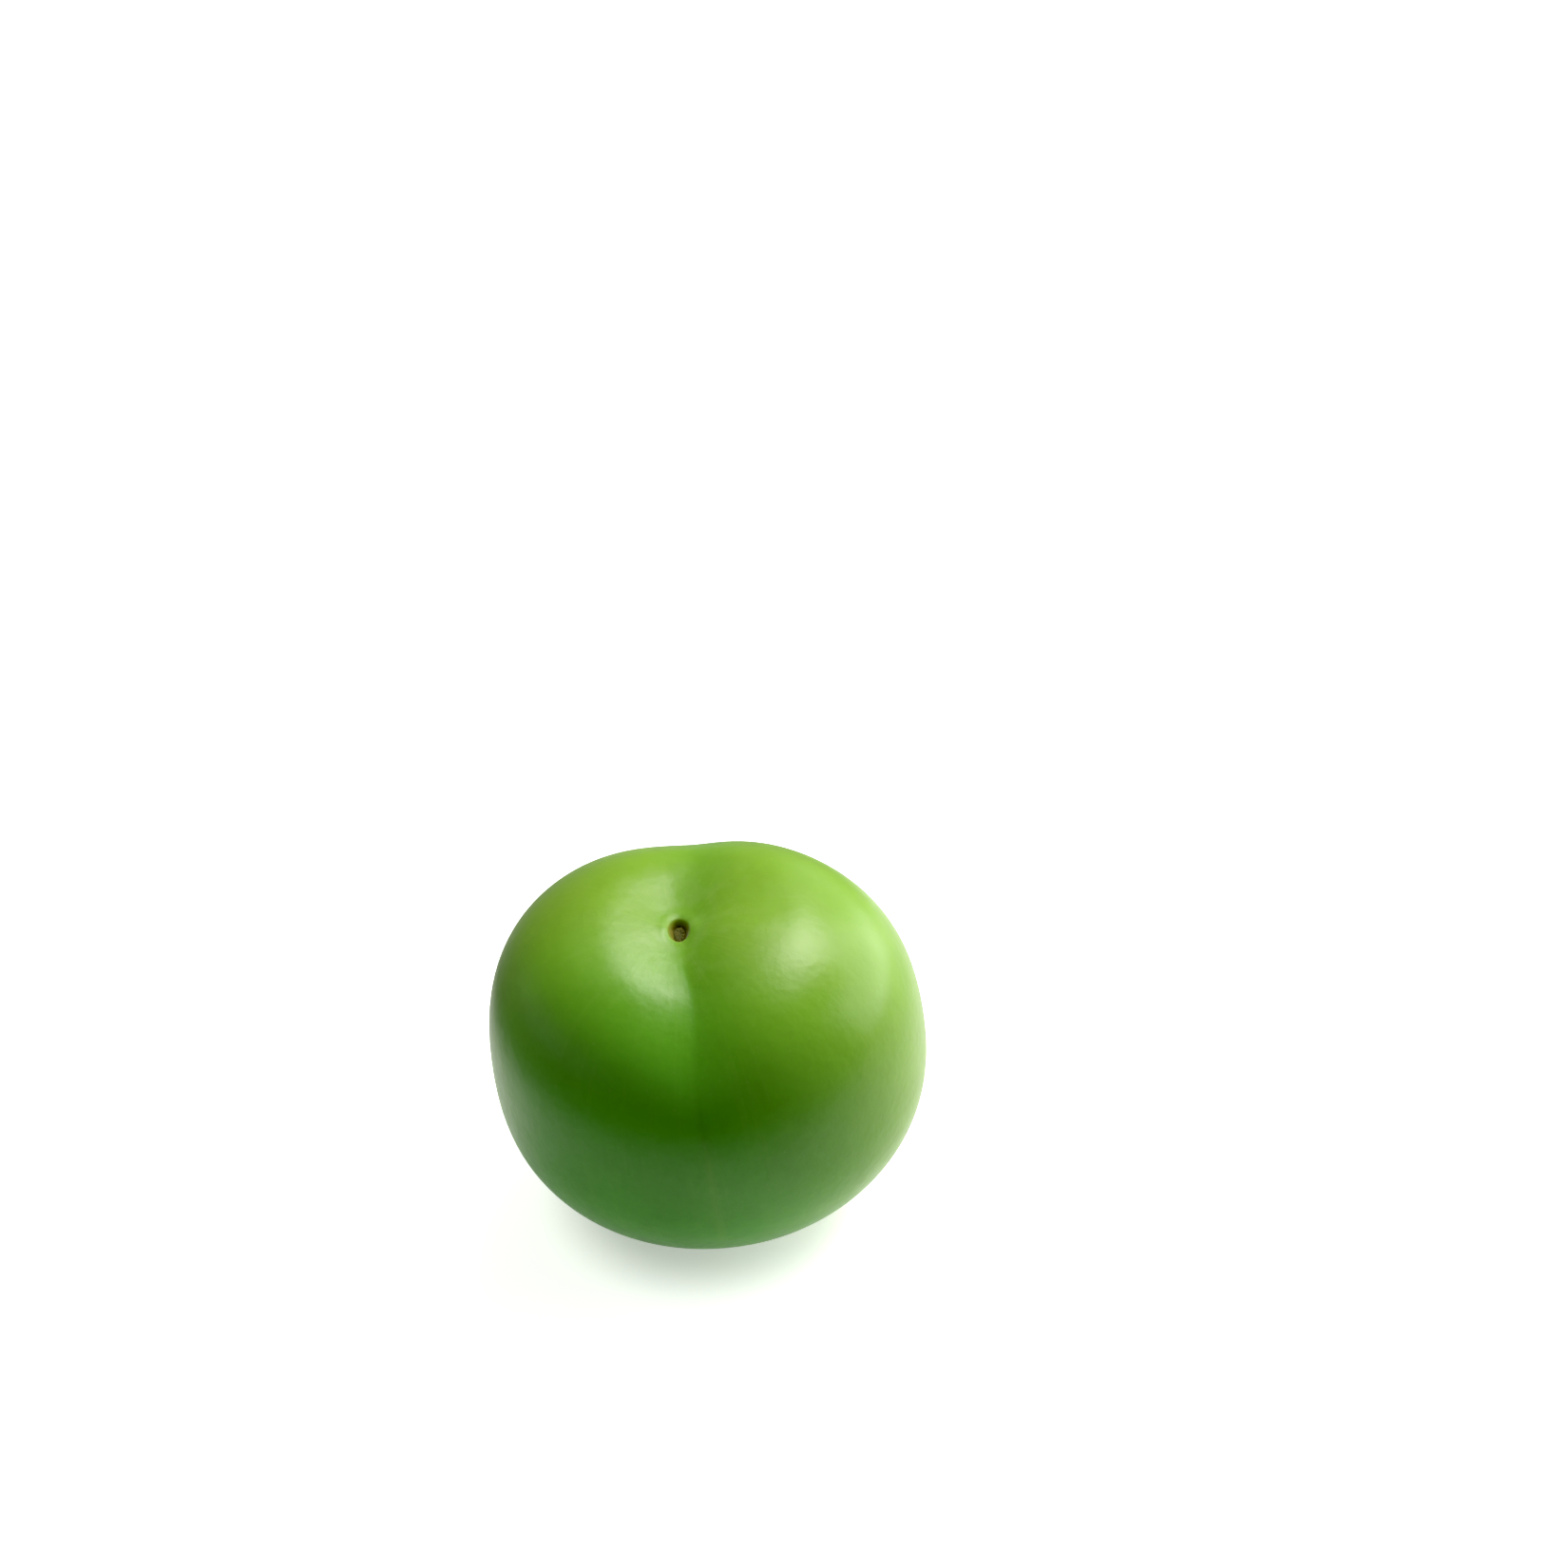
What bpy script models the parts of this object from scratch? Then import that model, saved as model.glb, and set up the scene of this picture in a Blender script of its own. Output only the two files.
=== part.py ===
"""A greengage: one round green plum that rests on its blossom end, its stem scar in a pit on top.

The fruit is one solid. Its skin is a sphere whose points are moved outward and inward by the formula in
flesh_point: two cheeks meet in a valley that runs from behind over the top, past the place of the stalk,
and down the front as the suture. Lengths are in millimetres until the mesh is scaled.
"""
import math

import bmesh
import bpy
from mathutils import Euler, Matrix, Vector

METRES_PER_MM = 0.001

# Body: half sizes across the cheeks, from the suture to the back, and along the stem axis.
HALF_WIDTH = 18.0
HALF_DEPTH = 16.41
HALF_HEIGHT = 15.97
# Fullness of the shoulders round the top and of the belly near the blossom end.
SHOULDER_SWELL = 0.113
BELLY_SWELL = 0.012
# How much lower the top lies in front and behind than over the two cheeks, and how much
# higher the left cheek stands than the right one.
SADDLE = 0.017
LEFT_CHEEK_RISE = 0.095
CHEEK_TOP = 0.75
# The stalk stood a little to the left of the middle, and the skin near it is drawn over with it.
STEM_SHIFT = -0.95
STEM_SHIFT_START = 0.878

# Shallow hollow round the place of the stalk.
HOLLOW_DEPTH = 0.18
HOLLOW_RADIUS = 2.1

# Valley between the cheeks: its depth at the stalk, and how far its two flanks reach.
VALLEY_DEPTH = 1.86
LEFT_REACH = 6.26
LEFT_STEEPENING = 1.76
RIGHT_REACH = 3.40
RIGHT_REACH_BEHIND = 4.31
RIGHT_STEEPENING = 1.39
# Roundness of its bottom: sharp in front, softer behind, and softest a little behind the stalk.
FRONT_ROUNDING = 0.40
LEFT_ROUNDING_BEHIND = 0.85
RIGHT_ROUNDING_BEHIND = 1.66
LEFT_STEM_ROUNDING = 2.02
RIGHT_STEM_ROUNDING = 2.64
STEM_ROUNDING_RADIUS = 3.6
STEM_ROUNDING_BEHIND = 2.1
# Where it fades out, in cosines of the angle from the stem end, and the shares of its depth that are
# left low on the belly and behind the shoulder.
FRONT_END = -0.9
FRONT_FADE = 0.396
FRONT_FULL = 0.933
FRONT_BELLY_SHARE = 0.081
BACK_FADE = 0.15
BACK_FULL = 0.81
BACK_SHOULDER_SHARE = 0.474
BACK_MERGE = 0.812
SIDE_CHANGE = 2.0

# Pit that the stalk left, longer along the suture, with a slightly raised lip. The stalk leaned to the
# front, by a share of the way up.
PIT_DEPTH = 1.0
PIT_FLOOR_RADIUS = 0.45
PIT_RADIUS = 0.95
PIT_STRETCH = 1.35
LIP_HEIGHT = 0.10
LIP_RADIUS = 1.25
LIP_WIDTH = 0.35
STEM_LEAN = 0.30
STEM_RING_ANGLE = 0.075
STEM_RING_POINTS = 12

# Puckered blossom scar underneath.
BLOSSOM_DEPTH = 1.2
BLOSSOM_RADIUS = 1.3
BLOSSOM_FOLDS = 5
BLOSSOM_FOLD_SHARE = 0.12

# How the fruit sits, in degrees: leaning to the front and to the left, turned on its axis, on a flat spot.
LEAN_FRONT = 3.58
LEAN_LEFT = 5.75
TURN = 1.96
FLAT_CUT = 0.50

# Mesh: meridians and rings, drawn together towards the suture and the two ends.
MERIDIANS = 84
RINGS = 64
MERIDIAN_CROWDING = 0.5
RING_SPACING_AT_ENDS = 0.25
WELD = 0.004


def ease(value, low, high):
    """Rises smoothly from 0 at low to 1 at high."""
    share = min(max((value - low) / (high - low), 0.0), 1.0)
    return share * share * (3.0 - 2.0 * share)


def valley_share(upward, forward):
    """How much of the valley's depth is left at a height and a distance in front of the stem axis."""
    in_front = FRONT_BELLY_SHARE * ease(upward, FRONT_END, 0.0)
    in_front += (1.0 - FRONT_BELLY_SHARE) * ease(upward, FRONT_FADE, FRONT_FULL)
    behind = BACK_SHOULDER_SHARE * ease(upward, BACK_FADE, BACK_FULL)
    behind += (1.0 - BACK_SHOULDER_SHARE) * ease(upward, BACK_MERGE, 1.0)
    front = ease(forward, -SIDE_CHANGE, SIDE_CHANGE)
    return in_front * front + behind * (1.0 - front)


def valley_profile(across, forward):
    """Depth of the valley as a share of its deepest line, by the distance to the left or right of it."""
    front = ease(forward, -SIDE_CHANGE, SIDE_CHANGE)
    at_stem = math.exp(-((math.hypot(across, forward + STEM_ROUNDING_BEHIND) / STEM_ROUNDING_RADIUS) ** 2))
    rounding = FRONT_ROUNDING * front
    if across > 0.0:
        rounding += RIGHT_ROUNDING_BEHIND * (1.0 - front) + RIGHT_STEM_ROUNDING * at_stem
        reach = RIGHT_REACH * front + RIGHT_REACH_BEHIND * (1.0 - front)
        steepening = RIGHT_STEEPENING
    else:
        rounding += LEFT_ROUNDING_BEHIND * (1.0 - front) + LEFT_STEM_ROUNDING * at_stem
        reach = LEFT_REACH
        steepening = LEFT_STEEPENING
    return math.exp((rounding / reach) ** steepening - (math.hypot(across, rounding) / reach) ** steepening)


def flesh_point(polar, turn):
    """Point of the fruit, without the pit, at an angle from the stem end and one round the axis."""
    upward = math.cos(polar)
    outward = math.sin(polar)
    swell_here = BELLY_SWELL + (SHOULDER_SWELL - BELLY_SWELL) * ease(upward, -1.0, 1.0)
    swell = 1.0 + swell_here * math.sin(2.0 * polar) ** 2
    top = ease(upward, 0.0, CHEEK_TOP)
    cheeks = 1.0 - top * (SADDLE * math.cos(turn) ** 2 + LEFT_CHEEK_RISE * math.sin(turn) * outward)

    across = HALF_WIDTH * outward * swell * math.sin(turn)
    forward = HALF_DEPTH * outward * swell * math.cos(turn)
    height = HALF_HEIGHT * upward * swell * cheeks
    radius = math.hypot(across, forward)

    # Hollow on top and puckered dimple below.
    height -= HOLLOW_DEPTH * math.exp(-((radius / HOLLOW_RADIUS) ** 2)) * ease(upward, 0.0, 0.3)
    if upward < 0.0:
        fold = 1.0 + BLOSSOM_FOLD_SHARE * math.cos(BLOSSOM_FOLDS * turn) * ease(radius, 0.0, BLOSSOM_RADIUS)
        height += BLOSSOM_DEPTH * math.exp(-((radius / (BLOSSOM_RADIUS * fold)) ** 2))

    # Valley, sunk towards the middle of the fruit.
    sunk = VALLEY_DEPTH * valley_share(upward, forward) * valley_profile(across, forward)
    point = Vector((across + STEM_SHIFT * ease(upward, STEM_SHIFT_START, 1.0), -forward, height))
    return point * (1.0 - sunk / point.length)


def stem_place():
    """Middle of the place of the stalk, from a ring of points round it, and the way the stalk grew out."""
    step = 2.0 * math.pi / STEM_RING_POINTS
    ring = [flesh_point(STEM_RING_ANGLE, step * number) for number in range(STEM_RING_POINTS)]
    outward = Vector()
    for here, beside in zip(ring, ring[1:] + ring[:1]):
        outward += here.cross(beside)
    outward = outward.normalized() + Vector((0.0, -STEM_LEAN, 0.0))
    return sum(ring, Vector()) / STEM_RING_POINTS, outward.normalized()


def skin_point(polar, turn, stem, outward):
    """Point of the skin: the flesh, with the oval pit sunk and its lip raised along the stalk."""
    point = flesh_point(polar, turn)
    if polar > math.pi / 2.0:
        return point
    offset = point - stem
    sideways = outward.cross(Vector((0.0, 1.0, 0.0))).normalized()
    lengthwise = outward.cross(sideways)
    aside = math.hypot(offset.dot(sideways), offset.dot(lengthwise) / PIT_STRETCH)
    pit = PIT_DEPTH * (1.0 - ease(aside, PIT_FLOOR_RADIUS, PIT_RADIUS))
    lip = LIP_HEIGHT * math.exp(-(((aside - LIP_RADIUS) / LIP_WIDTH) ** 2))
    return point + (lip - pit) * outward


def crowd_angles(direction):
    """Polar angle and turn of a point of the plain sphere, drawn towards the ends and the suture."""
    share = math.acos(min(max(direction.z, -1.0), 1.0)) / math.pi
    share = RING_SPACING_AT_ENDS * share + (1.0 - RING_SPACING_AT_ENDS) * ease(share, 0.0, 1.0)
    turn = math.atan2(direction.x, -direction.y)
    return share * math.pi, turn - MERIDIAN_CROWDING * math.sin(turn)


def build_fruit():
    """Sphere with its points moved onto the skin, leaned over and set on a flat spot at height zero."""
    mesh = bmesh.new()
    bmesh.ops.create_uvsphere(mesh, u_segments=MERIDIANS, v_segments=RINGS, radius=1.0)
    stem, outward = stem_place()
    for vertex in mesh.verts:
        vertex.co = skin_point(*crowd_angles(vertex.co), stem, outward)

    lean = Euler((math.radians(LEAN_FRONT), math.radians(-LEAN_LEFT), math.radians(TURN)), "ZXY")
    bmesh.ops.transform(mesh, matrix=Matrix(lean.to_matrix()).to_4x4(), verts=mesh.verts)

    # Flat spot: the skin is split where it meets the plane, and what lies lower is pressed level.
    flat_level = min(vertex.co.z for vertex in mesh.verts) + FLAT_CUT
    everything = mesh.verts[:] + mesh.edges[:] + mesh.faces[:]
    bmesh.ops.bisect_plane(mesh, geom=everything, plane_co=(0, 0, flat_level), plane_no=(0, 0, 1))
    for vertex in mesh.verts:
        vertex.co.z = max(vertex.co.z, flat_level)
    bmesh.ops.remove_doubles(mesh, verts=mesh.verts, dist=WELD)

    # The middle of the footprint stands over the origin.
    xs = [vertex.co.x for vertex in mesh.verts]
    ys = [vertex.co.y for vertex in mesh.verts]
    middle = Vector(((min(xs) + max(xs)) / 2.0, (min(ys) + max(ys)) / 2.0, flat_level))
    bmesh.ops.translate(mesh, vec=-middle, verts=mesh.verts)
    bmesh.ops.scale(mesh, vec=(METRES_PER_MM,) * 3, verts=mesh.verts)
    bmesh.ops.recalc_face_normals(mesh, faces=mesh.faces)
    for face in mesh.faces:
        face.smooth = True
    return mesh


def skin_material():
    """Taut waxy yellow-green skin."""
    material = bpy.data.materials.new("greengage_skin")
    material.use_nodes = True
    shader = material.node_tree.nodes["Principled BSDF"]
    shader.inputs["Base Color"].default_value = (0.16, 0.36, 0.03, 1.0)
    shader.inputs["Roughness"].default_value = 0.35
    shader.inputs["Metallic"].default_value = 0.0
    return material


for old in list(bpy.data.objects):
    bpy.data.objects.remove(old, do_unlink=True)

collection = bpy.data.collections.new("greengage")
bpy.context.scene.collection.children.link(collection)

fruit = build_fruit()
data = bpy.data.meshes.new("greengage")
fruit.to_mesh(data)
fruit.free()
data.materials.append(skin_material())
collection.objects.link(bpy.data.objects.new("greengage", data))
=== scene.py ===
import bpy
import numpy as np
from mathutils import Euler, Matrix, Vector


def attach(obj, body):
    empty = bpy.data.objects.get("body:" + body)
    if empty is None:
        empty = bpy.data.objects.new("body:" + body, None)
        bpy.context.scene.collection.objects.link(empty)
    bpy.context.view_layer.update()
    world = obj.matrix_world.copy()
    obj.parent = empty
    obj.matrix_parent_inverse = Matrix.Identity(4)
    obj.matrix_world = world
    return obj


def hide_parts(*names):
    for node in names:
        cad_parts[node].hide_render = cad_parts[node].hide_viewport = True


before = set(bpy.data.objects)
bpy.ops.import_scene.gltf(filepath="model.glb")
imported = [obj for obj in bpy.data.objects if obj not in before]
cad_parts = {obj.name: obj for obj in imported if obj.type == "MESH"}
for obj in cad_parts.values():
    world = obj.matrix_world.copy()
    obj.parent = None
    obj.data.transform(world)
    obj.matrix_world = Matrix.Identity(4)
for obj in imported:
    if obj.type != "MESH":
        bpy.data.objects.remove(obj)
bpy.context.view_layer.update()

# The fruit.
# A ripe greengage: one swelling body with two cheeks, a suture groove down the front, a hollow round
# the place of the stalk and a puckered blossom scar below. It grew in one piece under a taut waxy skin
# that is thin enough for the pale flesh and its veins to show through.

METRES_PER_MM = 0.001
HALF_WIDTH, HALF_DEPTH, HALF_HEIGHT = 18.0, 16.41, 15.97    # mm, as every length of the fruit and its scar
SHOULDER_SWELL, BELLY_SWELL = 0.113, 0.012
SADDLE, LEFT_CHEEK_RISE, CHEEK_TOP = 0.017, 0.095, 0.75
STEM_SHIFT, STEM_SHIFT_START = -0.95, 0.878
HOLLOW_DEPTH, HOLLOW_RADIUS, HOLLOW_FADE = 0.18, 2.1, 0.3
VALLEY_DEPTH = 1.86
LEFT_REACH, LEFT_STEEPENING = 6.26, 1.76
RIGHT_REACH, RIGHT_REACH_BEHIND, RIGHT_STEEPENING = 3.40, 4.31, 1.39
FRONT_ROUNDING, LEFT_ROUNDING_BEHIND, RIGHT_ROUNDING_BEHIND = 0.40, 0.85, 1.66
LEFT_STEM_ROUNDING, RIGHT_STEM_ROUNDING, STEM_ROUNDING_RADIUS, STEM_ROUNDING_BEHIND = 2.02, 2.64, 3.6, 2.1
FRONT_END, FRONT_FADE, FRONT_FULL, FRONT_BELLY_SHARE = -0.9, 0.396, 0.933, 0.081
BACK_FADE, BACK_FULL, BACK_SHOULDER_SHARE, BACK_MERGE = 0.15, 0.81, 0.474, 0.812
SIDE_CHANGE = 2.0
PIT_DEPTH, PIT_FLOOR_RADIUS, PIT_RADIUS, PIT_STRETCH = 1.0, 0.45, 0.95, 1.35
LIP_HEIGHT, LIP_RADIUS, LIP_WIDTH = 0.07, 1.25, 0.40
STEM_RING_ANGLE, STEM_RING_POINTS = 0.075, 12               # radians from the stem axis
STEM_LEAN = 0.30                                            # share to the front
BLOSSOM_DEPTH, BLOSSOM_RADIUS, BLOSSOM_FOLDS, BLOSSOM_FOLD_SHARE = 1.2, 1.3, 5, 0.12
LEAN_FRONT, LEAN_LEFT, TURN = 3.58, 5.75, 1.96              # degrees
FLAT_CUT = 0.50
SKIN_RINGS, SKIN_MERIDIANS = 270, 360
RING_SPACING_AT_ENDS, MERIDIAN_CROWDING = 0.25, 0.5


def ease(value, low, high):
    """Smooth rise from 0 at low to 1 at high: three times the share squared less twice the share cubed."""
    share = np.clip((value - low) / (high - low), 0.0, 1.0)
    return share * share * (3.0 - 2.0 * share)


def fruit_body(polar, turn):
    """Points of the flesh in its own axes, stem up and suture to -y, from the polar and the turning angle.

    A ball of unequal half sizes is swollen by sin(2 polar) squared, its top lowered in front and behind and
    raised on the left. Bell curves of the radius sink the hollow at the top and the puckered blossom scar
    below. A valley over the top pulls points towards the middle by how near they lie to the plane through
    suture and stem: sharp in front where the suture is, soft at the stem and behind, fading down both ways.
    """
    upward, outward = np.cos(polar), np.sin(polar)
    swell_here = BELLY_SWELL + (SHOULDER_SWELL - BELLY_SWELL) * ease(upward, -1.0, 1.0)
    swell = 1.0 + swell_here * np.sin(2.0 * polar) ** 2
    top = ease(upward, 0.0, CHEEK_TOP)
    cheeks = 1.0 - top * (SADDLE * np.cos(turn) ** 2 + LEFT_CHEEK_RISE * np.sin(turn) * outward)
    across = HALF_WIDTH * outward * swell * np.sin(turn)
    forward = HALF_DEPTH * outward * swell * np.cos(turn)
    height = HALF_HEIGHT * upward * swell * cheeks
    radius = np.hypot(across, forward)

    hollow = HOLLOW_DEPTH * np.exp(-((radius / HOLLOW_RADIUS) ** 2))
    height = height - hollow * ease(upward, 0.0, HOLLOW_FADE)
    fold = 1.0 + BLOSSOM_FOLD_SHARE * np.cos(BLOSSOM_FOLDS * turn) * ease(radius, 0.0, BLOSSOM_RADIUS)
    dimple = BLOSSOM_DEPTH * np.exp(-((radius / (BLOSSOM_RADIUS * fold)) ** 2))
    height = np.where(upward < 0.0, height + dimple, height)

    in_front = FRONT_BELLY_SHARE * ease(upward, FRONT_END, 0.0)
    in_front = in_front + (1.0 - FRONT_BELLY_SHARE) * ease(upward, FRONT_FADE, FRONT_FULL)
    behind = BACK_SHOULDER_SHARE * ease(upward, BACK_FADE, BACK_FULL)
    behind = behind + (1.0 - BACK_SHOULDER_SHARE) * ease(upward, BACK_MERGE, 1.0)
    front = ease(forward, -SIDE_CHANGE, SIDE_CHANGE)
    right = across > 0.0
    rounding = np.where(right, RIGHT_ROUNDING_BEHIND, LEFT_ROUNDING_BEHIND) * (1.0 - front)
    rounding = rounding + FRONT_ROUNDING * front
    at_stem = np.exp(-((np.hypot(across, forward + STEM_ROUNDING_BEHIND) / STEM_ROUNDING_RADIUS) ** 2))
    rounding = rounding + np.where(right, RIGHT_STEM_ROUNDING, LEFT_STEM_ROUNDING) * at_stem
    reach = np.where(right, RIGHT_REACH * front + RIGHT_REACH_BEHIND * (1.0 - front), LEFT_REACH)
    steepening = np.where(right, RIGHT_STEEPENING, LEFT_STEEPENING)
    valley = np.exp((rounding / reach) ** steepening - (np.hypot(across, rounding) / reach) ** steepening)
    sunk = VALLEY_DEPTH * (in_front * front + behind * (1.0 - front)) * valley

    shifted = across + STEM_SHIFT * ease(upward, STEM_SHIFT_START, 1.0)
    points = np.stack([shifted, -forward, height], -1)
    return points * (1.0 - sunk / np.linalg.norm(points, axis=-1))[..., None]


def stem_place():
    """Middle of the place of the stalk, with the ways out of the fruit, across the suture and along it.

    The cross products of neighbours on a ring of points round it add up to the way that the stalk grew out,
    which then leans to the front.
    """
    around = np.linspace(0.0, 2.0 * np.pi, STEM_RING_POINTS, endpoint=False)
    ring = fruit_body(np.full(STEM_RING_POINTS, STEM_RING_ANGLE), around)
    outward = np.cross(ring, np.roll(ring, -1, axis=0)).sum(0)
    outward = outward / np.linalg.norm(outward) + np.array([0.0, -STEM_LEAN, 0.0])
    outward = outward / np.linalg.norm(outward)
    sideways = np.cross(outward, [0.0, 1.0, 0.0])
    sideways = sideways / np.linalg.norm(sideways)
    return ring.mean(0), outward, sideways, np.cross(outward, sideways)


stem, stem_outward, stem_sideways, stem_lengthwise = stem_place()


def from_stem_axis(points):
    """Distance of points from the stem's axis, counted short along the suture, so its rings are ovals."""
    offset = points - stem
    return np.hypot(offset @ stem_sideways, offset @ stem_lengthwise / PIT_STRETCH)


def fruit_skin(polar, turn):
    """The flesh with the pit of the stalk: a smooth step in the distance from its axis, and a bell lip."""
    points = fruit_body(polar, turn)
    aside = from_stem_axis(points)
    pit = PIT_DEPTH * (1.0 - ease(aside, PIT_FLOOR_RADIUS, PIT_RADIUS))
    lip = LIP_HEIGHT * np.exp(-(((aside - LIP_RADIUS) / LIP_WIDTH) ** 2))
    return points + ((lip - pit) * (np.cos(polar) > 0.0))[..., None] * stem_outward


def lean(points):
    """Turns points of the fruit's own axes to the way it leans on the table."""
    leaning = Euler((np.radians(LEAN_FRONT), np.radians(-LEAN_LEFT), np.radians(TURN)), "ZXY").to_matrix()
    return points @ np.array(leaning).T


def globe_grid(rings, meridians, end):
    """Ring value and turn at each point of a globe: a pole at ring value 0, the rings, and an end pole."""
    ring, turn = np.meshgrid(rings, meridians, indexing="ij")
    return np.concatenate([[0.0], ring.ravel(), [end]]), np.concatenate([[0.0], turn.ravel(), [0.0]])


def globe_faces(rings, meridians):
    """Quads between neighbouring rings, and a fan of triangles at each pole, all with faces outwards."""
    ring, step = np.meshgrid(np.arange(rings - 1), np.arange(meridians), indexing="ij")
    here, beside = ring * meridians + step, ring * meridians + (step + 1) % meridians
    quads = np.stack([here, here + meridians, beside + meridians, beside], -1).reshape(-1, 4) + 1
    around = np.arange(meridians)
    first = np.stack([np.zeros(meridians, int), around + 1, (around + 1) % meridians + 1], -1)
    last_ring = 1 + (rings - 1) * meridians
    end = np.full(meridians, 1 + rings * meridians)
    last = np.stack([end, last_ring + (around + 1) % meridians, last_ring + around], -1)
    return quads.tolist() + first.tolist() + last.tolist()


def add_piece(name, points, faces, shades=None):
    """Smooth mesh object at the origin from points and faces, with each shade's value at its points."""
    mesh = bpy.data.meshes.new(name)
    mesh.from_pydata(points.tolist(), [], faces)
    for label, values in (shades or {}).items():
        kind, field = ("FLOAT_VECTOR", "vector") if values.ndim == 2 else ("FLOAT", "value")
        layer = mesh.attributes.new(label, kind, "POINT")
        layer.data.foreach_set(field, values.astype(np.float32).ravel())
    mesh.polygons.foreach_set("use_smooth", np.ones(len(mesh.polygons), bool))
    mesh.update()
    piece = bpy.data.objects.new(name, mesh)
    bpy.context.scene.collection.objects.link(piece)
    return piece


share = (np.arange(SKIN_RINGS) + 1.0) / (SKIN_RINGS + 1.0)
skin_rings = np.pi * (RING_SPACING_AT_ENDS * share + (1.0 - RING_SPACING_AT_ENDS) * ease(share, 0.0, 1.0))
around = 2.0 * np.pi * np.arange(SKIN_MERIDIANS) / SKIN_MERIDIANS - np.pi
polar, turn = globe_grid(skin_rings, around - MERIDIAN_CROWDING * np.sin(around), np.pi)
own = fruit_skin(polar, turn)
leaning_skin = lean(own)
footing = (leaning_skin.min(0) + leaning_skin.max(0)) / 2.0
footing[2] = leaning_skin[:, 2].min() + FLAT_CUT


def set_down(points):
    """Points of the fruit's own axes as it stands, in metres: leaned, with its flat spot at height zero."""
    return (lean(points) - footing) * METRES_PER_MM


skin_points = set_down(own)
skin_points[:, 2] = np.maximum(skin_points[:, 2], 0.0)

# How far its shades reach: from the two scars and the suture in mm, down the suture in cosines of the angle
# from the stem, and round to the lamps' side in the product with its direction. The yellowing towards the
# lamps is partly ripening and partly painted light, and the valley's right flank carries painted shade.
STEM_ZONE, BLOSSOM_ZONE = 6.5, 2.2
PIT_EDGE = (0.62, 1.05)
SUTURE_WIDTH, SUTURE_BEHIND = 0.45, 0.5
SUTURE_SHOULDER, SUTURE_END, SUTURE_TOP, SUTURE_TOP_LOSS = (0.15, 0.45), (-0.75, -0.2), (0.90, 0.97), 0.8
VALLEY_PAINTED_SHADE, BANK_MIDDLE, BANK_WIDTH = 0.25, 1.2, 2.6
RIPE_AND_LIT_SIDE, RIPE_AND_LIT_REACH = np.array([0.28, 0.79, 0.155]), (-0.90, 0.10)
VEIN_CLIMB = 0.35


def skin_shades(own, polar, turn):
    """Values that the skin carries at its points, for its material to read.

    The yellowing share rises smoothly as a point's direction turns to the back right, where the lamps
    stand: partly ripening and partly painted light. A bell curve over the right flank of the valley takes
    it down, a painted shade. Bell curves of the distance lie round the stem and the blossom scar, and a
    smooth step of it in the pit. The suture falls off exponentially to both sides, in one stretch over the
    shoulder and one low on the belly. Along runs round the fruit and down it, for the veins.
    """
    upward = np.cos(polar)
    facing = lean(own) / np.linalg.norm(own, axis=1)[:, None]
    aside = own[:, 0] - STEM_SHIFT * ease(upward, STEM_SHIFT_START, 1.0)
    # Painted shade on the valley's right flank: less yellowing there.
    valley_painted_shade = VALLEY_PAINTED_SHADE * np.exp(-(((aside - BANK_MIDDLE) / BANK_WIDTH) ** 2))
    suture = np.exp(-np.abs(aside) / SUTURE_WIDTH) * (own[:, 1] < SUTURE_BEHIND)
    shoulder = ease(upward, *SUTURE_SHOULDER)
    from_stem = np.linalg.norm(own - stem, axis=1)
    from_axis = np.hypot(own[:, 0], own[:, 1])
    return {"ripe_and_lit": ease(facing @ RIPE_AND_LIT_SIDE, *RIPE_AND_LIT_REACH) * (1.0 - valley_painted_shade),
            "near_stem": np.exp(-((from_stem / STEM_ZONE) ** 2)),
            "near_blossom": np.exp(-((from_axis / BLOSSOM_ZONE) ** 2)) * (own[:, 2] < 0.0),
            "near_suture": suture * shoulder * (1.0 - SUTURE_TOP_LOSS * ease(upward, *SUTURE_TOP)),
            "suture_low": suture * (1.0 - shoulder) * ease(upward, *SUTURE_END),
            "in_pit": (1.0 - ease(from_stem_axis(own), *PIT_EDGE)) * (own[:, 2] > 0.0),
            "along": np.stack([np.cos(turn), np.sin(turn), polar * VEIN_CLIMB], -1)}


skin = add_piece("greengage_skin", skin_points, globe_faces(SKIN_RINGS, SKIN_MERIDIANS),
                 skin_shades(own, polar, turn))

# Its colours, with the stops of a ramp as (position, colour), and its patterns of noise as cells a metre,
# or a unit of the veins' own way round and down, octaves and roughness.
BLACK, WHITE = (0.0, 0.0, 0.0), (1.0, 1.0, 1.0)
# A shaded and a lit copy of the flesh: the lit one yellower, the shaded one greener, partly ripening and
# partly painted light and shade.
GREEN_SHADED_FLESH = ((0.30, (0.074, 0.35, 0.014)), (0.72, (0.089, 0.41, 0.020)))
RIPE_LIT_FLESH = ((0.30, (0.188, 0.37, 0.020)), (0.72, (0.216, 0.42, 0.028)))
VEIN_COLOUR, BLOOM_COLOUR, DOT_COLOUR = (0.42, 0.62, 0.12), (0.46, 0.60, 0.26), (0.48, 0.62, 0.20)
SUTURE_DARK, SUTURE_PALE = (0.07, 0.26, 0.010), (0.30, 0.52, 0.08)
PIT_COLOUR, BLOSSOM_COLOUR = (0.25, 0.235, 0.020), (0.16, 0.11, 0.035)
MOTTLES, BLOOM_PATCHES, WAX_PATCHES = (90.0, 4.0, 0.55), (620.0, 3.0, 0.6), (420.0, 3.0, 0.55)
PORES, SWELLS = (1400.0, 2.0, 0.5), (330.0, 2.0, 0.5)
VEINS, VEIN_STRETCH, VEIN_STOPS = (2.2, 5.0, 0.6), (9.0, 9.0, 1.6), ((0.52, BLACK), (0.70, WHITE))
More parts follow.
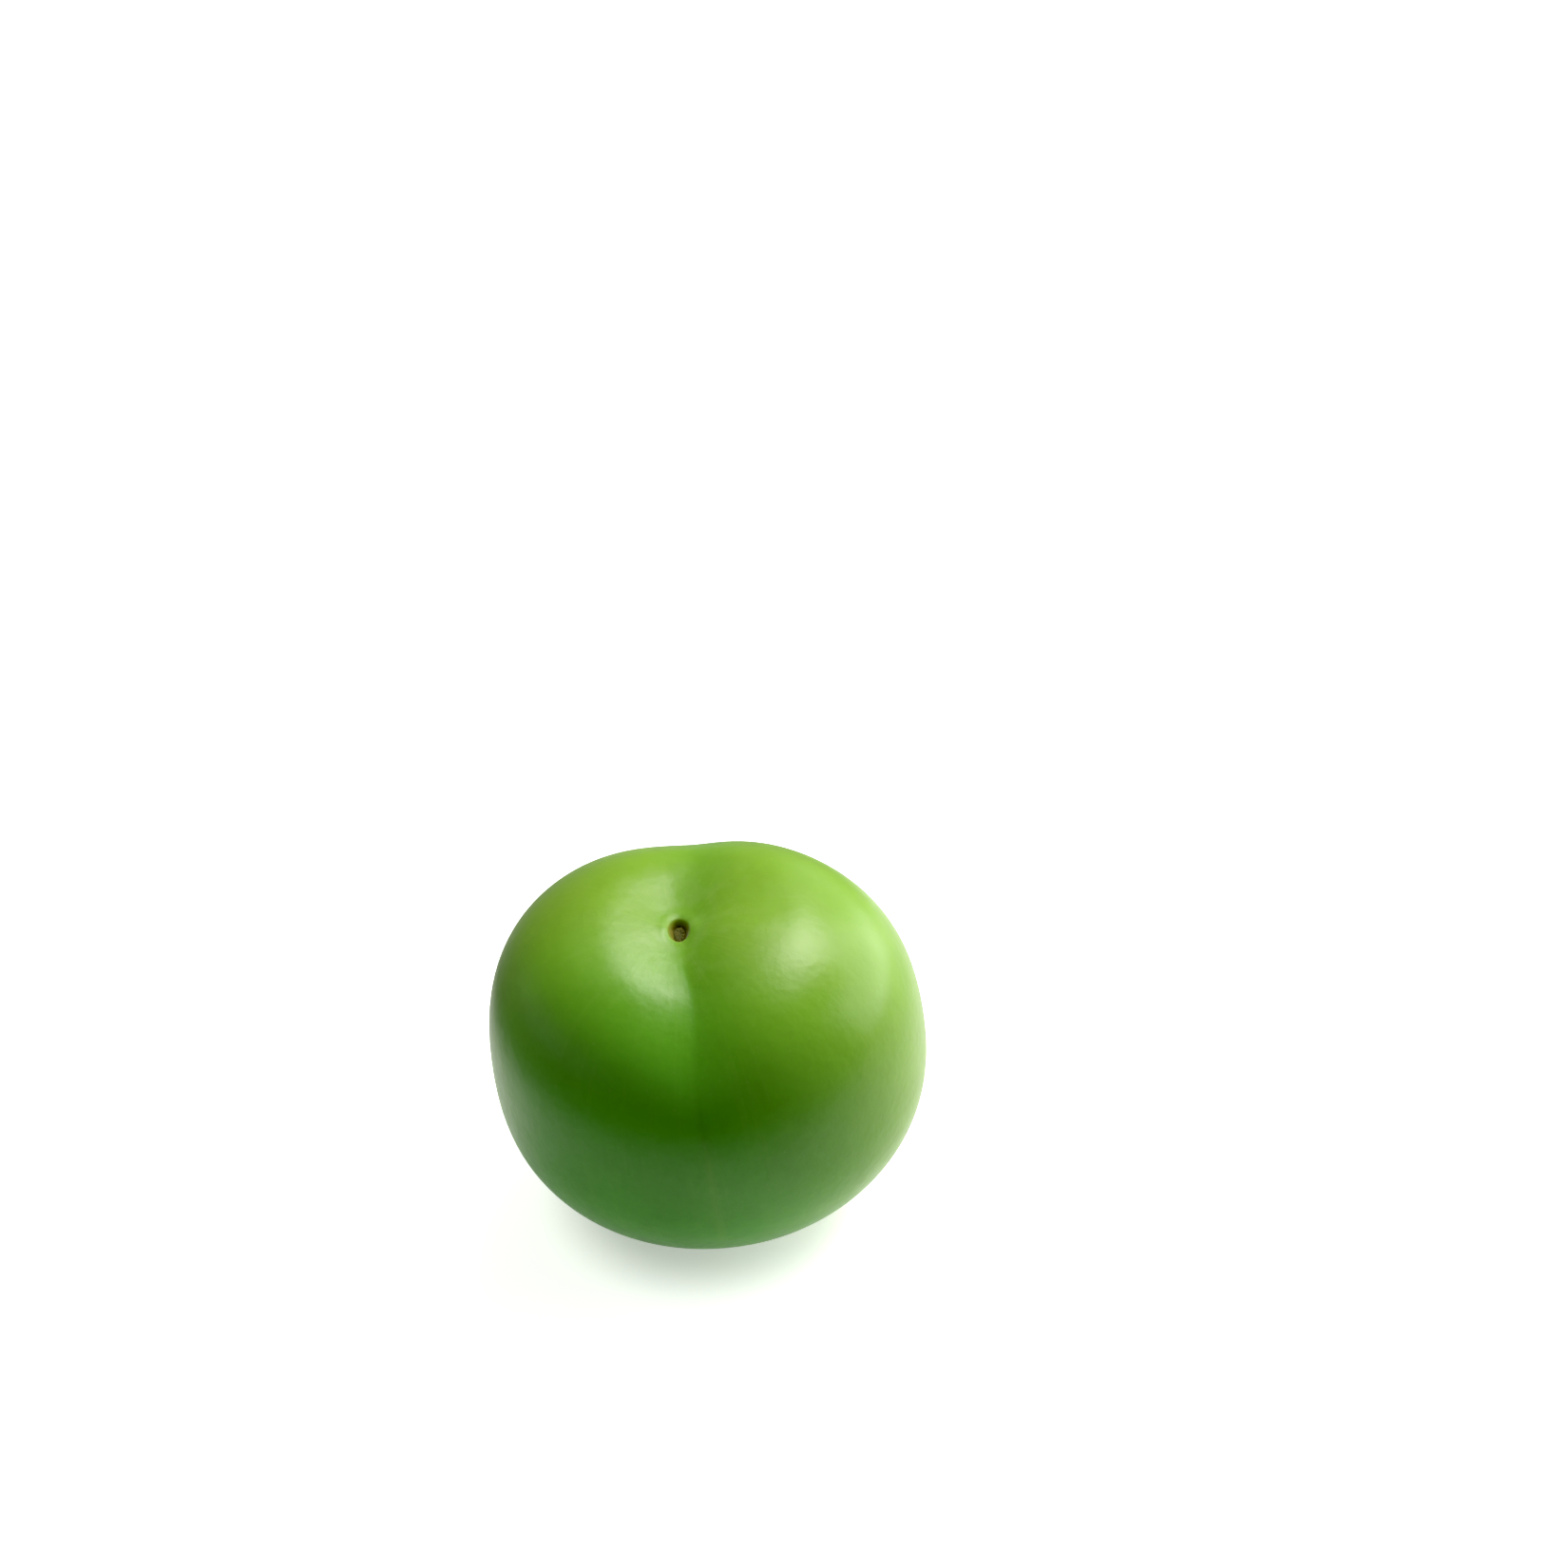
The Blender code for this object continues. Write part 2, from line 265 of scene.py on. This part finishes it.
VEINS_NEAR_STEM, VEINS_EVERYWHERE = 0.08, 0.03
BLOOM_STOPS = ((0.42, BLACK), (0.66, (0.09, 0.09, 0.09)))
DOT_CELLS, DOT_STOPS, DOT_STRENGTH = 900.0, ((0.06, WHITE), (0.15, BLACK)), 0.05
SUTURE_DARK_STRENGTH, SUTURE_PALE_STRENGTH = 0.34, 0.16
BLOSSOM_STOPS = ((0.35, BLACK), (0.85, WHITE))
POLISH, WAX_ROUGHENING, BLOOM_ROUGHENING = 0.255, 0.10, 1.6
VEIN_RELIEF, SWELL_RELIEF, RELIEF_STRENGTH, RELIEF_DEPTH = 0.35, 2.2, 0.06, 0.0004
SKIN_FINISH = {"IOR": 1.45, "Specular IOR Level": 0.4, "Subsurface Weight": 0.35,
               "Subsurface Radius": (0.8, 1.0, 0.25), "Subsurface Scale": 0.002, "Sheen Weight": 0.22,
               "Sheen Roughness": 0.35, "Sheen Tint": (0.90, 1.0, 0.88, 1.0)}
NODE_SPACING = 200.0


def new_material(name, finish):
    """Material with its nodes and its Principled shader, whose constant sockets take the finish."""
    material = bpy.data.materials.new(name)
    material.use_nodes = True
    shader = material.node_tree.nodes["Principled BSDF"]
    for socket, value in finish.items():
        shader.inputs[socket].default_value = value
    return material, material.node_tree, shader


def node(tree, kind, inputs=None, **settings):
    """Adds a shader node with its settings, and fills its inputs with values or other nodes' outputs."""
    made = tree.nodes.new(kind)
    made.location = (NODE_SPACING * len(tree.nodes), 0.0)
    for key, value in settings.items():
        setattr(made, key, value)
    for key, value in (inputs or {}).items():
        if isinstance(value, bpy.types.NodeSocket):
            tree.links.new(value, made.inputs[key])
        else:
            made.inputs[key].default_value = value
    return made


def noise(tree, place, pattern):
    """Soft noise over a place, from its pattern of cells a unit, octaves and roughness."""
    cells, octaves, roughness = pattern
    return node(tree, "ShaderNodeTexNoise", {"Vector": place, "Scale": cells, "Detail": octaves,
                                             "Roughness": roughness}).outputs["Fac"]


def painted(tree, label, output="Fac"):
    """What the mesh carries at its points under a label, as a number or as a vector."""
    return node(tree, "ShaderNodeAttribute", attribute_name=label).outputs[output]


def maths(tree, operation, *values):
    """One operation on numbers or on other nodes' outputs."""
    return node(tree, "ShaderNodeMath", dict(enumerate(values)), operation=operation).outputs[0]


def ramp(tree, factor, stops):
    """Colour that eases from the first of two (position, colour) stops to the second."""
    made = node(tree, "ShaderNodeValToRGB", {"Fac": factor})
    made.color_ramp.interpolation = "EASE"
    for element, (position, colour) in zip(made.color_ramp.elements, stops):
        element.position = position
        element.color = (*colour, 1.0)
    return made.outputs["Color"]


def mix(tree, factor, first, second):
    """Mixes another node's output with a second one or with a colour, by a factor."""
    over = second if isinstance(second, bpy.types.NodeSocket) else (*second, 1.0)
    return node(tree, "ShaderNodeMix", {"Factor": factor, "A": first, "B": over},
                data_type="RGBA").outputs["Result"]


def waxy_skin():
    """Yellow-green skin over mottled flesh, yellower towards the lamps partly as painted light, with pale
    veins, dots and bloom, and fine relief under its wax.

    The suture is dark over the shoulder and pale on the belly, the pit olive, the blossom scar dry brown.
    """
    material, tree, shader = new_material("waxy_green_skin", SKIN_FINISH)
    place = node(tree, "ShaderNodeTexCoord").outputs["Object"]
    near_stem = painted(tree, "near_stem")
    mottles = noise(tree, place, MOTTLES)
    green_shaded_flesh, ripe_lit_flesh = ramp(tree, mottles, GREEN_SHADED_FLESH), ramp(tree, mottles, RIPE_LIT_FLESH)
    # The flesh turns from its shaded copy to its lit copy towards the lamps: partly ripening, partly
    # painted light and shade.
    flesh = mix(tree, painted(tree, "ripe_and_lit"), green_shaded_flesh, ripe_lit_flesh)

    stretched = node(tree, "ShaderNodeMapping", {"Vector": painted(tree, "along", "Vector"),
                                                 "Scale": VEIN_STRETCH}).outputs["Vector"]
    veins = noise(tree, stretched, VEINS)
    vein_strength = maths(tree, "MULTIPLY_ADD", near_stem, VEINS_NEAR_STEM, VEINS_EVERYWHERE)
    vein_share = maths(tree, "MULTIPLY", ramp(tree, veins, VEIN_STOPS), vein_strength)
    bloom = ramp(tree, noise(tree, place, BLOOM_PATCHES), BLOOM_STOPS)
    bloom_share = maths(tree, "MULTIPLY", bloom, near_stem)
    dots = node(tree, "ShaderNodeTexVoronoi", {"Vector": place, "Scale": DOT_CELLS}).outputs["Distance"]
    dot_share = maths(tree, "MULTIPLY", ramp(tree, dots, DOT_STOPS), DOT_STRENGTH)
    dark_share = maths(tree, "MULTIPLY", painted(tree, "near_suture"), SUTURE_DARK_STRENGTH)
    pale_share = maths(tree, "MULTIPLY", painted(tree, "suture_low"), SUTURE_PALE_STRENGTH)
    dry_share = ramp(tree, painted(tree, "near_blossom"), BLOSSOM_STOPS)

    colour = flesh
    for share, tint in ((vein_share, VEIN_COLOUR), (bloom_share, BLOOM_COLOUR), (dot_share, DOT_COLOUR),
                        (dark_share, SUTURE_DARK), (pale_share, SUTURE_PALE),
                        (painted(tree, "in_pit"), PIT_COLOUR), (dry_share, BLOSSOM_COLOUR)):
        colour = mix(tree, share, colour, tint)
    tree.links.new(colour, shader.inputs["Base Color"])

    polish = maths(tree, "MULTIPLY_ADD", noise(tree, place, WAX_PATCHES), WAX_ROUGHENING, POLISH)
    roughness = maths(tree, "MULTIPLY_ADD", bloom_share, BLOOM_ROUGHENING, polish)
    tree.links.new(roughness, shader.inputs["Roughness"])

    fine_relief = maths(tree, "MULTIPLY_ADD", veins, VEIN_RELIEF, noise(tree, place, PORES))
    relief = maths(tree, "MULTIPLY_ADD", noise(tree, place, SWELLS), SWELL_RELIEF, fine_relief)
    bump = node(tree, "ShaderNodeBump", {"Height": relief, "Strength": RELIEF_STRENGTH,
                                         "Distance": RELIEF_DEPTH})
    tree.links.new(bump.outputs["Normal"], shader.inputs["Normal"])
    return material


skin.data.materials.append(waxy_skin())
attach(skin, "root")
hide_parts("greengage")

# The scar of the stalk.
# Where the stalk broke away it left a small corky plug in the floor of the pit, olive brown, with the
# ends of the fibres that fed the fruit standing in a ring.

PLUG_RADIUS, PLUG_THICKNESS, PLUG_ABOVE, PLUG_BELOW = 0.58, 0.22, 0.55, 0.45
PLUG_RINGS, PLUG_STEPS = 24, 72
EDGE_WAVES = ((0.05, 3.0, 0.7), (0.03, 7.0, 0.0))           # height, number round it, start in radians
FIBRES, FIBRE_RING, FIBRE_WIDTH, FIBRE_HEIGHT = 9, 0.58, 0.16, 0.06
CRUMB_HEIGHT, CRUMBS_ROUND, CRUMBS_OUT = 0.03, (7.0, 3.0), (11.0, 19.0)
CORK_SHADES = ((0.3, (0.085, 0.100, 0.010)), (0.7, (0.170, 0.160, 0.018)))
CORK_GRAIN, CORK_RELIEF_STRENGTH, CORK_RELIEF_DEPTH = (2600.0, 4.0, 0.5), 0.6, 0.0001
CORK_FINISH = {"Roughness": 0.75}


def corky_plug(out, turn):
    """Plug points about the stem axis: the top for out below 1, and the underside from there to 2.

    It is a lens with a waving edge. Its top carries the fibre ends, a bell curve of the radius times a
    cosine round it, and crumbs, two sine waves across each other that are strongest halfway out.
    """
    top = out < 1.0
    spread = np.where(top, out, 2.0 - out)
    lens = PLUG_THICKNESS * np.sqrt(np.clip(1.0 - spread ** 2, 0.0, 1.0))
    fibres = np.exp(-(((spread - FIBRE_RING) / FIBRE_WIDTH) ** 2)) * (0.5 + 0.5 * np.cos(FIBRES * turn))
    crumbs = np.sin(CRUMBS_ROUND[0] * turn + CRUMBS_OUT[0] * spread) * 4.0 * spread * (1.0 - spread)
    crumbs = crumbs * np.sin(CRUMBS_OUT[1] * spread - CRUMBS_ROUND[1] * turn)
    level = lens * np.where(top, PLUG_ABOVE, -PLUG_BELOW) - PIT_DEPTH
    level = level + np.where(top, FIBRE_HEIGHT * fibres + CRUMB_HEIGHT * crumbs, 0.0)
    edge = 1.0 + sum(height * np.cos(number * turn + start) for height, number, start in EDGE_WAVES)
    reach = (PLUG_RADIUS * spread * edge)[:, None]
    sideways = reach * np.sin(turn)[:, None] * stem_sideways
    lengthwise = reach * np.cos(turn)[:, None] * stem_lengthwise * PIT_STRETCH
    return stem + sideways + lengthwise + level[:, None] * stem_outward


plug_rings = (np.arange(PLUG_RINGS) + 1.0) / (PLUG_RINGS + 1.0) * 2.0
plug_around = 2.0 * np.pi * np.arange(PLUG_STEPS) / PLUG_STEPS
plug_points = set_down(corky_plug(*globe_grid(plug_rings, plug_around, 2.0)))
plug = add_piece("stalk_scar", plug_points, globe_faces(PLUG_RINGS, PLUG_STEPS))


def cork():
    """Olive-brown cork, mottled and roughened by one fine grain."""
    material, tree, shader = new_material("scar_cork", CORK_FINISH)
    place = node(tree, "ShaderNodeTexCoord").outputs["Object"]
    grain = noise(tree, place, CORK_GRAIN)
    tree.links.new(ramp(tree, grain, CORK_SHADES), shader.inputs["Base Color"])
    bump = node(tree, "ShaderNodeBump", {"Height": grain, "Strength": CORK_RELIEF_STRENGTH,
                                         "Distance": CORK_RELIEF_DEPTH})
    tree.links.new(bump.outputs["Normal"], shader.inputs["Normal"])
    return material


plug.data.materials.append(cork())
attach(plug, "root")

# The table.
# A plain white matt board, larger than the view, under studio light that leaves it white to the eye, with a
# soft shadow close round the fruit that a painted shadow deepens. The fruit mirrors a painted pool of light
# on it, which reaches off to the right and opens behind on that side. The rest of the board is painted in
# shade.

TABLE_HALF = 2.0                                            # metres, as every length on the table
# The board's white, its painted shade, the painted shadow round the fruit and the painted pool of light.
TABLE_WHITE, PAINTED_TABLE_SHADE = 0.85, 0.10
PAINTED_SHADOW_INSIDE, PAINTED_SHADOW_OUTSIDE, PAINTED_SHADOW_LIFT = 0.009, 0.016, 0.46
PAINTED_POOL_INSIDE, PAINTED_POOL_OUTSIDE = 0.027, 0.049
PAINTED_POOL_LEFT_SHARE, PAINTED_POOL_RIGHT_SHARE, PAINTED_POOL_BACK_SLOPE = 0.80, 0.15, 1.2
# The lift is faintly green, which paints a green cast of bounced light into the shadow.
LIFT, PAINTED_POOL_LIFT, LIFT_COLOUR = 0.85, 0.215, (0.97, 1.0, 0.95, 1.0)
BOARD_FINISH = {"Roughness": 0.9, "Specular IOR Level": 0.0, "Emission Color": LIFT_COLOUR}

corners = np.array([[-1, -1, 0], [1, -1, 0], [1, 1, 0], [-1, 1, 0]]) * TABLE_HALF
table = add_piece("table", corners, [[0, 1, 2, 3]])


def length(tree, vector):
    """Length of a vector."""
    return node(tree, "ShaderNodeVectorMath", {0: vector}, operation="LENGTH").outputs["Value"]


def step(tree, value, low, high, start, end):
    """Number that changes smoothly from start to end while the value goes from low to high."""
    return node(tree, "ShaderNodeMapRange", dict(enumerate((value, low, high, start, end))),
                interpolation_type="SMOOTHSTEP").outputs[0]


def white_board():
    """Matt white with an even lift. The camera sees all of it white, and the fruit only a pool of light
    painted in its colour and lift.

    The painted pool fades with a distance from the fruit that counts short to the right. Its edge behind
    runs further back the more it lies to the right. The lift is less close round the fruit: a painted
    shadow.
    """
    material, tree, shader = new_material("white_board", BOARD_FINISH)
    place = node(tree, "ShaderNodeTexCoord").outputs["Object"]
    flat = node(tree, "ShaderNodeSeparateXYZ", {"Vector": place}).outputs
    to_left = maths(tree, "MULTIPLY", flat["X"], -PAINTED_POOL_LEFT_SHARE)
    to_right = maths(tree, "MULTIPLY", flat["X"], PAINTED_POOL_RIGHT_SHARE)
    to_front = maths(tree, "MULTIPLY", flat["Y"], -1.0)
    right_of_middle = maths(tree, "MAXIMUM", flat["X"], 0.0)
    to_back = maths(tree, "MULTIPLY_ADD", right_of_middle, -PAINTED_POOL_BACK_SLOPE, flat["Y"])
    sideways = maths(tree, "MAXIMUM", to_left, to_right)
    lengthways = maths(tree, "MAXIMUM", maths(tree, "MAXIMUM", to_front, to_back), 0.0)
    away = length(tree, node(tree, "ShaderNodeCombineXYZ", {"X": sideways, "Y": lengthways}).outputs[0])
    # Painted pool of light, with painted shade outside it, in the colour that the fruit sees.
    painted_pool = step(tree, away, PAINTED_POOL_INSIDE, PAINTED_POOL_OUTSIDE, TABLE_WHITE, PAINTED_TABLE_SHADE)
    seen = node(tree, "ShaderNodeLightPath").outputs["Is Camera Ray"]
    tree.links.new(mix(tree, seen, painted_pool, (TABLE_WHITE,) * 3), shader.inputs["Base Color"])

    # The painted pool glows for the fruit too.
    mirrored_painted_pool = maths(tree, "MULTIPLY", painted_pool, PAINTED_POOL_LIFT / TABLE_WHITE)
    # Painted shadow: the lift is held back close round the fruit.
    outside_painted_shadow = step(tree, length(tree, place), PAINTED_SHADOW_INSIDE, PAINTED_SHADOW_OUTSIDE, PAINTED_SHADOW_LIFT, 1.0)
    lift = maths(tree, "MULTIPLY", maths(tree, "MAXIMUM", mirrored_painted_pool, seen), outside_painted_shadow)
    tree.links.new(maths(tree, "MULTIPLY", lift, LIFT), shader.inputs["Emission Strength"])
    return material


table.data.materials.append(white_board())

# The light.
# A wide soft window behind on the right, brightest in its middle, and a pale wall at the right with a low
# strip below it. Weak fill comes from behind, from overhead and from the left, and from a dim even surround
# that is white to the eye.

SURROUND = 0.16
FRUIT_MIDDLE = Vector((0.0, 0.0, 0.018))
WINDOW, WINDOW_COLOUR = (0.350, 0.435, 0.830), (1.0, 0.965, 0.88)


def soft_box(name, direction, size, power, colour=WHITE, distance=1.0):
    """Rectangular area light that faces the fruit from a direction, in metres and watts, unseen itself."""
    lamp = bpy.data.lights.new(name, "AREA")
    lamp.shape, lamp.size, lamp.size_y = "RECTANGLE", size[0], size[1]
    lamp.energy, lamp.color = power, colour
    box = bpy.data.objects.new(name, lamp)
    box.location = Vector(direction).normalized() * distance + FRUIT_MIDDLE
    box.rotation_euler = Vector(direction).to_track_quat("Z", "Y").to_euler()
    box.visible_camera = False
    bpy.context.scene.collection.objects.link(box)
    return box


soft_box("window", WINDOW, (0.60, 0.60), 7.9, WINDOW_COLOUR)
soft_box("window_middle", WINDOW, (0.25, 0.25), 1.8, WINDOW_COLOUR, distance=0.99)
soft_box("right_wall", (0.90, 0.36, 0.35), (1.0, 0.7), 7.3)
soft_box("right_low", (0.83, 0.55, 0.12), (0.9, 0.3), 1.7)
soft_box("back_wall", (0.50, 0.85, 0.35), (0.7, 0.6), 1.2)
soft_box("overhead", (-0.12, 0.50, 0.86), (0.70, 0.70), 0.7)
soft_box("left_wall", (-0.94, -0.32, 0.12), (1.2, 0.8), 2.3).visible_glossy = False
soft_box("left_rim", (-0.90, 0.05, 0.10), (0.9, 0.5), 0.4)

world = bpy.data.worlds.new("surround")
world.use_nodes = True
background = world.node_tree.nodes["Background"]
background.inputs["Color"].default_value = (*WHITE, 1.0)
seen = node(world.node_tree, "ShaderNodeLightPath").outputs["Is Camera Ray"]
glow = step(world.node_tree, seen, 0.0, 1.0, SURROUND, 1.0)
world.node_tree.links.new(glow, background.inputs["Strength"])
bpy.context.scene.world = world

# The camera.
# It looks down on the suture side from about 23 cm away, a little to the right of the middle. The darkest
# tones of its picture are drawn down a little, to a deeper green.

FOCAL_PIXELS, PHOTO_PIXELS, SENSOR_WIDTH = 2858.0, 1650.0, 36.0     # the sensor in mm
CAMERA_PLACE, LOOK_DOWN = (0.0062, -0.16464, 0.17186), 38.0         # metres, degrees
NEAREST_SEEN, FURTHEST_SEEN = 0.01, 10.0
BLACK_LEVEL = 0.010

view = bpy.data.cameras.new("camera")
view.sensor_width, view.lens = SENSOR_WIDTH, FOCAL_PIXELS * SENSOR_WIDTH / PHOTO_PIXELS
view.clip_start, view.clip_end = NEAREST_SEEN, FURTHEST_SEEN
camera = bpy.data.objects.new("camera", view)
camera.location = CAMERA_PLACE
camera.rotation_euler = (np.radians(90.0 - LOOK_DOWN), 0.0, 0.0)
bpy.context.scene.collection.objects.link(camera)
bpy.context.scene.camera = camera
settings = bpy.context.scene.view_settings
settings.view_transform = "Standard"
settings.use_curve_mapping = True
settings.curve_mapping.black_level = (BLACK_LEVEL,) * 3
